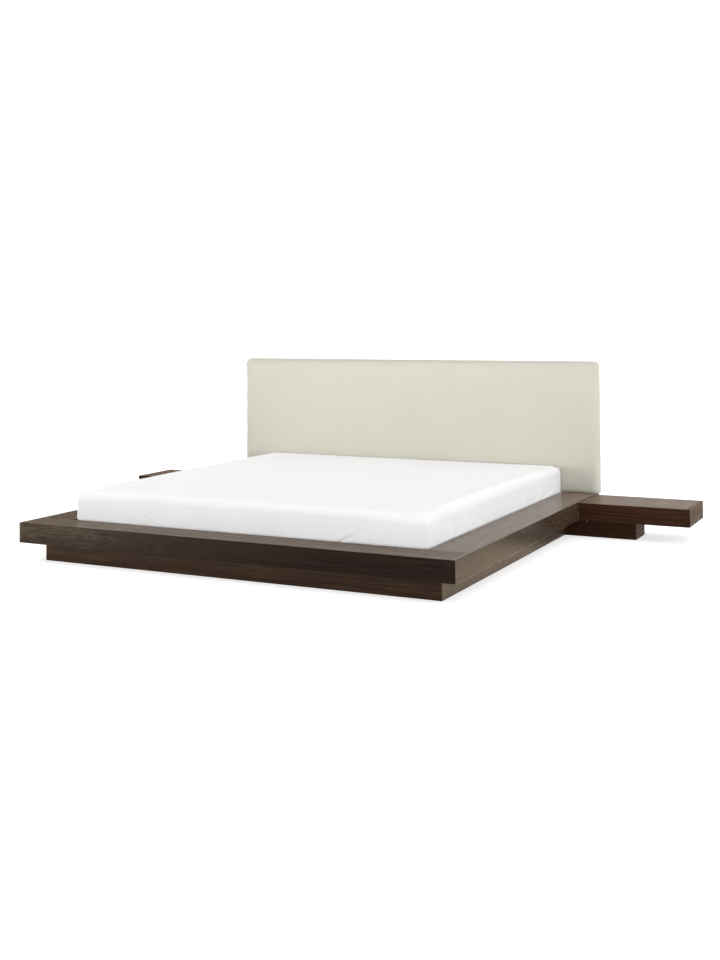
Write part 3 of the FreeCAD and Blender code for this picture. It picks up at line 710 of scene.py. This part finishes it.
def ridge(across, width, beside_shares):
    """The section of a ridge of that half width and height 1, with a dip beside it on both sides."""
    place, spread, height = beside_shares
    bell = np.exp(-(across / width) ** 2)
    beside = np.exp(-((np.abs(across) - place * width) / (spread * width)) ** 2)
    return bell - height * beside


def waves(points, table):
    """The sum of a table's slow waves at those points."""
    return sum(part * np.sin(points @ np.array(turns) + phase) for turns, phase, part in table)


def fold_heights(along, height, folds, width, depth):
    """How far each place on a side of the sheet stands out, from the folds across it."""
    out = np.zeros(len(along))
    for (start_along, start_height), (end_along, end_height), width_share, depth_share in folds:
        run = np.array([end_along - start_along, end_height - start_height])
        reach = np.hypot(*run)
        run /= reach
        t = ((along - start_along) * run[0] + (height - start_height) * run[1]) / reach
        across = (along - start_along) * -run[1] + (height - start_height) * run[0]
        swells, fades = RISING_ENDS if end_height > start_height else FALLING_ENDS
        ends = smooth_step(*swells, t) * (1 - smooth_step(*fades, t))
        out += depth * depth_share * ends * ridge(across, width * width_share, FOLD_DIP_SHARES)
    return out


def crease_sheet(piece):
    """Adds the folds at the sheet's sides, and slow waves all over it."""
    soft = bpy.context.scene.bed_soft
    points = get_points(piece)
    size = SHEET_HIGH - SHEET_LOW
    shown = SHEET_HIGH.z - LEDGE_TOP
    normals = get_normals(piece)
    height = points[:, 2] - LEDGE_TOP
    on_side = 1 - smooth_step(*SIDE_TO_TOP, np.abs(normals[:, 2]))
    out = np.zeros(len(points))
    sides = (
        (FRONT_FOLD_SHARES, 0, -normals[:, 1]),
        (SIDE_FOLD_SHARES, 1, np.abs(normals[:, 0])),
    )
    for shares, axis, facing in sides:
        along = points[:, axis] - SHEET_LOW[axis]
        folds = [
            ((a0 * size[axis], h0 * shown), (a1 * size[axis], h1 * shown), w, d)
            for (a0, h0), (a1, h1), w, d in shares
        ]
        here = np.clip(facing, 0, 1)
        out += here * fold_heights(along, height, folds, soft.fold_width, soft.fold_depth)
    wave = waves(points, SHEET_WAVES) + waves(points, SIDE_WAVES) * on_side
    out = out * on_side + soft.wave * wave
    out = np.where(height < soft.room_reach, np.minimum(out, soft.fold_room), out)
    out[points[:, 2] < SHEET_LOW.z + soft.lower_edge / 2] = 0
    set_points(piece, points + normals * out[:, None])


def apply_modifier(piece, kind, **settings):
    modifier = piece.modifiers.new(kind.lower(), kind)
    for key, value in settings.items():
        setattr(modifier, key, value)
    bpy.ops.object.select_all(action="DESELECT")
    bpy.context.view_layer.objects.active = piece
    piece.select_set(True)
    bpy.ops.object.modifier_apply(modifier=modifier.name)


def join_body(piece, body, slot, finish, *nodes):
    """Sets a new piece on its body in place of CAD nodes, with its finish. The slot argument is not used.
    """
    piece.data.materials.append(finish)
    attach(piece, body)
    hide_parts(*nodes)


def make_mattress():
    soft = bpy.context.scene.bed_soft
    inside = Vector((soft.slack, soft.slack, soft.slack))
    low, high = SHEET_LOW + inside, SHEET_HIGH - inside
    low.z = SHEET_LOW.z + soft.sheet_thickness * 2
    lines = [grid_lines(a, b, MATTRESS_STEP) for a, b in zip(low[:2], high[:2])]
    piece = box_skin("mattress_core", *lines, grid_lines(low.z, high.z, MATTRESS_LEVEL_STEP))
    soften_mattress(piece, low, high)
    held = get_points(piece)[:, 2] < low.z + soft.lower_edge
    stuff(piece, held, soft.slack / 10, MATTRESS_ROUNDS)
    join_body(piece, "mattress", "mattress_ticking", ticking("knitted_ticking"), "mattress")


def make_fitted_sheet():
    soft = bpy.context.scene.bed_soft
    size = SHEET_HIGH - SHEET_LOW
    lines = []
    for axis, shares in enumerate((FRONT_FOLD_SHARES, SIDE_FOLD_SHARES)):
        low, high = SHEET_LOW[axis], SHEET_HIGH[axis]
        spans = [
            (low, low + soft.edge_in, SHEET_EDGE_STEP),
            (high - soft.edge_in, high, SHEET_EDGE_STEP),
        ]
        for (start, _), (end, _), *_ in shares:
            first, last = (low + place * size[axis] for place in sorted((start, end)))
            spans.append((first - soft.fold_width, last + soft.fold_width, SHEET_FOLD_STEPS[axis]))
        lines.append(grid_lines(low, high, SHEET_STEP, spans))
    near_ledge = (LEDGE_TOP - soft.contact, LEDGE_TOP + soft.contact * 2, SHEET_LEDGE_STEP)
    zs = grid_lines(SHEET_LOW.z, SHEET_HIGH.z, SHEET_LEVEL_STEP, [near_ledge])
    piece = box_skin("fitted_sheet_cloth", *lines, zs, soft.tuck)
    soften_mattress(piece, SHEET_LOW, SHEET_HIGH)
    crease_sheet(piece)
    apply_modifier(piece, "SOLIDIFY", thickness=soft.sheet_thickness, offset=-1)
    join_body(piece, "mattress", "sheet_cotton", cotton("white_cotton"), "fitted_sheet")


def round_pad(piece, low, high):
    """Rounds the pad's corners and edges, widely in front and tightly at the back.

    The pad is taken as the upper half of a block twice as high, so its lower edge stays straight.
    """
    soft = bpy.context.scene.bed_soft
    points = get_points(piece)
    middle = np.array([(low.x + high.x) / 2, low.z])
    half = np.array([(high.x - low.x) / 2, high.z - low.z])
    front_edge = (soft.pad_edge, soft.pad_edge)
    back_edge = (soft.pad_back_edge, soft.pad_back_edge)
    plan, depth, _ = round_block(
        points[:, [0, 2]] - middle, high.y - points[:, 1], half, high.y - low.y,
        soft.pad_corner, front_edge, back_edge,
    )
    plan += middle
    set_points(piece, np.column_stack((plan[:, 0], high.y - depth, plan[:, 1])))


def sew_seam(piece, front):
    """Draws the leather in along the seam in the middle of the pad."""
    soft = bpy.context.scene.bed_soft
    points = get_points(piece)
    normals = get_normals(piece)
    draw = soft.seam_depth * ridge(points[:, 0], soft.seam_width, SEAM_RISE_SHARES)
    draw *= points[:, 1] < front
    set_points(piece, points - normals * draw[:, None])


def cut_cavity(piece, low, high):
    """Opens the pad's back for the frame that it wraps."""
    bpy.ops.object.select_all(action="DESELECT")
    bpy.ops.mesh.primitive_cube_add(size=1, location=(low + high) / 2)
    cutter = bpy.context.active_object
    cutter.dimensions = high - low
    bpy.ops.object.transform_apply(location=True, rotation=True, scale=True)
    apply_modifier(piece, "BOOLEAN", operation="DIFFERENCE", object=cutter, solver="EXACT")
    bpy.data.objects.remove(cutter)


def make_headboard_pad():
    soft = bpy.context.scene.bed_soft
    low, high = PAD_LOW.copy(), PAD_HIGH.copy()
    low.y += soft.pad_swell
    high.y += soft.leather_lip
    seam = SEAM_REACH_SHARE * soft.seam_width
    xs = grid_lines(low.x, -seam, PAD_STEP) + grid_lines(-seam, seam, soft.seam_width / 2)[1:-1]
    xs += grid_lines(seam, high.x, PAD_STEP)
    ys = grid_lines(low.y, high.y, PAD_EDGE_STEP)
    zs = grid_lines(low.z, high.z - soft.pad_edge, PAD_LEVEL_STEP)[:-1]
    zs += grid_lines(high.z - soft.pad_edge, high.z, PAD_EDGE_STEP)
    piece = box_skin("headboard_leather", xs, ys, zs)
    round_pad(piece, low, high)
    points = get_points(piece)
    held = (points[:, 1] > low.y + soft.pad_edge) | (points[:, 2] < low.z + soft.pad_edge / 2)
    stuff(piece, held, soft.pad_swell, PAD_ROUNDS)
    sew_seam(piece, BOARD_LOW.y)
    play = soft.leather_lip / 2
    inside = Vector((play, play, play))
    cavity_low = BOARD_LOW - inside
    cavity_low.z -= soft.pad_edge
    cavity_high = BOARD_HIGH + inside
    cavity_high.y = PAD_HIGH.y
    cut_cavity(piece, cavity_low, cavity_high)
    opening_low = COVER_LOW - inside
    opening_low.z = cavity_low.z
    opening_low.y -= soft.pad_back_edge
    opening_high = COVER_HIGH + inside
    cut_cavity(piece, opening_low, opening_high)
    join_body(piece, "bed_frame", "cream_leather", leather("cream_leather_cover"), "headboard_pad")


# Studio


def add_softbox(name, place, target, width, height, watts):
    lamp = bpy.data.lights.new(name, "AREA")
    lamp.shape = "RECTANGLE"
    lamp.size = width
    lamp.size_y = height
    lamp.energy = watts
    box = bpy.data.objects.new(name, lamp)
    box.location = place
    box.rotation_euler = (target - box.location).to_track_quat("-Z", "Y").to_euler()
    bpy.context.scene.collection.objects.link(box)


def make_floor():
    studio = bpy.context.scene.bed_studio
    bpy.ops.object.select_all(action="DESELECT")
    bpy.ops.mesh.primitive_plane_add(size=FLOOR_SIZE)
    floor = bpy.context.active_object
    floor.name = "studio_floor"
    finish = Finish("pale_floor")
    finish.surface({"Base Color": opaque(studio.floor), "Roughness": 0.9, "Specular IOR Level": 0.0})
    rays = finish.add("ShaderNodeLightPath", {}).outputs
    seen = rays[WHITE_RAYS[0]]
    for kind in WHITE_RAYS[1:]:
        seen = finish.math("MAXIMUM", seen, rays[kind])
    glow = finish.math("MULTIPLY", seen, studio.floor_glow)
    finish.surface({"Emission Color": WHITE, "Emission Strength": glow})
    floor.data.materials.append(finish.material)


def make_card(name, low, high, finish):
    """A panel of the studio that shows only in the lacquer's gloss."""
    bpy.ops.object.select_all(action="DESELECT")
    bpy.ops.mesh.primitive_cube_add(size=1, location=(Vector(low) + Vector(high)) / 2)
    card = bpy.context.active_object
    card.name = name
    card.dimensions = Vector(high) - Vector(low)
    bpy.ops.object.transform_apply(location=True, rotation=True, scale=True)
    card.data.materials.append(finish)
    for kind in CARD_HIDDEN_FROM:
        setattr(card, f"visible_{kind}", False)


def graded_glow(name, axis, full, none, strength):
    """Warm light that fades along an axis, from the place of full glow to the place of none."""
    finish = Finish(name)
    along = finish.add("ShaderNodeSeparateXYZ", {0: finish.place}).outputs[axis]
    level = finish.remap(along, full, none, 1.0, 0.0)
    glow = finish.math("MULTIPLY", finish.math("MULTIPLY", level, level), strength)
    finish.surface({
        "Base Color": BLACK, "Emission Color": opaque(linear(*GLOW_SHADE)), "Emission Strength": glow,
    })
    return finish.material


def matte_black(name):
    """Black cloth of the dark panel."""
    finish = Finish(name)
    finish.surface({"Base Color": FLAG_SHADE, "Roughness": 1.0, "Specular IOR Level": 0.0})
    return finish.material


def make_world():
    """Even light from all round and a low ring of light. To the eye and in gloss it is white."""
    studio = bpy.context.scene.bed_studio
    world = bpy.data.worlds.new("white_studio")
    bpy.context.scene.world = world
    shading = Shading(world)
    direction = shading.add("ShaderNodeTexCoord", {}).outputs["Generated"]
    height = shading.add("ShaderNodeSeparateXYZ", {0: direction}).outputs["Z"]
    lowness = shading.math("SUBTRACT", 1.0, height, use_clamp=True)
    ring = shading.math("POWER", lowness, RING_POWER)
    light = shading.math("MULTIPLY_ADD", ring, studio.side_light, studio.fill)
    rays = shading.add("ShaderNodeLightPath", {}).outputs
    for kind in WHITE_RAYS:
        inputs = {"Factor": rays[kind], "A": light, "B": 1.0}
        light = shading.add("ShaderNodeMix", inputs).outputs["Result"]
    shading.feed(shading.nodes["Background"], {"Color": WHITE, "Strength": light})


def make_camera():
    studio = bpy.context.scene.bed_studio
    lens = bpy.data.cameras.new("photo_camera")
    lens.sensor_width = SENSOR_WIDTH
    lens.lens = studio.focal_length
    lens.shift_x, lens.shift_y = studio.camera_shift
    lens.clip_end = VIEW_DEPTH
    camera = bpy.data.objects.new("photo_camera", lens)
    camera.location = studio.camera_place
    turn = Matrix.Rotation(studio.camera_turn, 3, "Z")
    tilt = Matrix.Rotation(math.pi / 2 + studio.camera_tilt, 3, "X")
    roll = Matrix.Rotation(studio.camera_roll, 3, "Z")
    camera.rotation_euler = (turn @ tilt @ roll).to_euler()
    bpy.context.scene.collection.objects.link(camera)
    bpy.context.scene.camera = camera


def set_studio():
    make_floor()
    make_world()
    for name, (place, target, size, watts) in SOFTBOXES.items():
        add_softbox(name, place, Vector(target), *size, watts)
    for name, (low, high, *grading) in GLOW_CARDS.items():
        make_card(name, low, high, graded_glow(f"{name}_finish", *grading))
    make_card("dark_flag", *DARK_FLAG, matte_black("matte_black"))
    make_camera()
    bpy.context.scene.view_settings.view_transform = "Standard"


# Operators


class BED_OT_veneer(bpy.types.Operator):
    """Gives the boards that show their dark veneer, with the grain along each board"""

    bl_idname = "bed.veneer"
    bl_label = "Veneer the boards"

    def execute(self, context):
        wood = context.scene.bed_wood
        shades = {
            "plinth": (wood.plinth_ground, wood.plinth_light),
            "wing": (wood.wing_ground, wood.wing_light),
            "rail": (wood.rail_ground, wood.rail_light),
        }
        roughness = {
            "along": wood.long_roughness, "across": wood.cross_roughness, "end": wood.end_roughness,
        }

        def finish_for(node):
            axis = grain_axis(node)
            board = next((word for word in ("plinth", "wing") if node.startswith(word)), "rail")
            run = "across" if axis == "X" else "along"
            if node.startswith(END_BOARDS):
                run = "end"
            return f"{board}_veneer_{run}", lambda key: veneer(key, axis, *shades[board], roughness[run])

        dress(nodes_of("wenge_veneer"), finish_for)
        return {"FINISHED"}


class BED_OT_timber(bpy.types.Operator):
    """Gives slats, beams and the headboard's frame their plain timber and board"""

    bl_idname = "bed.timber"
    bl_label = "Finish the plain timber"

    def execute(self, context):
        wood = context.scene.bed_wood

        def finish_for(node):
            axis = grain_axis(node)
            return f"plain_timber_{axis.lower()}", lambda key: timber(key, axis, wood.timber)

        def board_for(node):
            return "fibre_board", lambda key: pressed_board(key, wood.board)

        dress(nodes_of("raw_timber"), finish_for)
        dress(nodes_of("plain_board"), board_for)
        return {"FINISHED"}


class BED_OT_fittings(bpy.types.Operator):
    """Finishes steel fittings, levelling feet, slat tapes and the cloth behind the headboard"""

    bl_idname = "bed.fittings"
    bl_label = "Finish the fittings"

    def execute(self, context):
        finishes = {
            "zinc_steel": zinc, "foot_plastic": moulded_plastic,
            "tape_webbing": webbing, "backing_cloth": backing_cloth,
        }
        for slot, make in finishes.items():
            dress(nodes_of(slot), lambda node: (f"{slot}_finish", make))
        return {"FINISHED"}


class BED_OT_mattress(bpy.types.Operator):
    """Makes the stuffed mattress"""

    bl_idname = "bed.mattress"
    bl_label = "Make the mattress"

    def execute(self, context):
        make_mattress()
        return {"FINISHED"}


class BED_OT_fitted_sheet(bpy.types.Operator):
    """Makes the fitted sheet with its folds"""

    bl_idname = "bed.fitted_sheet"
    bl_label = "Make the fitted sheet"

    def execute(self, context):
        make_fitted_sheet()
        return {"FINISHED"}


class BED_OT_headboard_pad(bpy.types.Operator):
    """Makes the headboard's leather pad with its seam"""

    bl_idname = "bed.headboard_pad"
    bl_label = "Make the headboard pad"

    def execute(self, context):
        make_headboard_pad()
        return {"FINISHED"}


class BED_OT_studio(bpy.types.Operator):
    """Sets the floor, the lights and the camera"""

    bl_idname = "bed.studio"
    bl_label = "Set the studio"

    def execute(self, context):
        set_studio()
        return {"FINISHED"}


class BED_PT_panel(bpy.types.Panel):
    """Lists the steps and their settings"""

    bl_idname = "BED_PT_panel"
    bl_label = "Low double bed"
    bl_space_type = "VIEW_3D"
    bl_region_type = "UI"
    bl_category = "Bed"

    def draw(self, context):
        for operator in OPERATORS:
            self.layout.operator(operator.bl_idname)
        for group in (context.scene.bed_wood, context.scene.bed_soft, context.scene.bed_studio):
            column = self.layout.column()
            for name in group.__annotations__:
                column.prop(group, name)


GROUPS = {"bed_wood": WoodProperties, "bed_soft": SoftProperties, "bed_studio": StudioProperties}
OPERATORS = (
    BED_OT_veneer, BED_OT_timber, BED_OT_fittings,
    BED_OT_mattress, BED_OT_fitted_sheet, BED_OT_headboard_pad, BED_OT_studio,
)


def register():
    for cls in (*GROUPS.values(), *OPERATORS, BED_PT_panel):
        bpy.utils.register_class(cls)
    for name, group in GROUPS.items():
        setattr(bpy.types.Scene, name, PointerProperty(type=group))


def unregister():
    for name in GROUPS:
        delattr(bpy.types.Scene, name)
    for cls in reversed((*GROUPS.values(), *OPERATORS, BED_PT_panel)):
        bpy.utils.unregister_class(cls)


def main():
    register()
    bpy.ops.bed.veneer()
    bpy.ops.bed.timber()
    bpy.ops.bed.fittings()
    bpy.ops.bed.mattress()
    bpy.ops.bed.fitted_sheet()
    bpy.ops.bed.headboard_pad()
    bpy.ops.bed.studio()


if __name__ == "__main__":
    main()
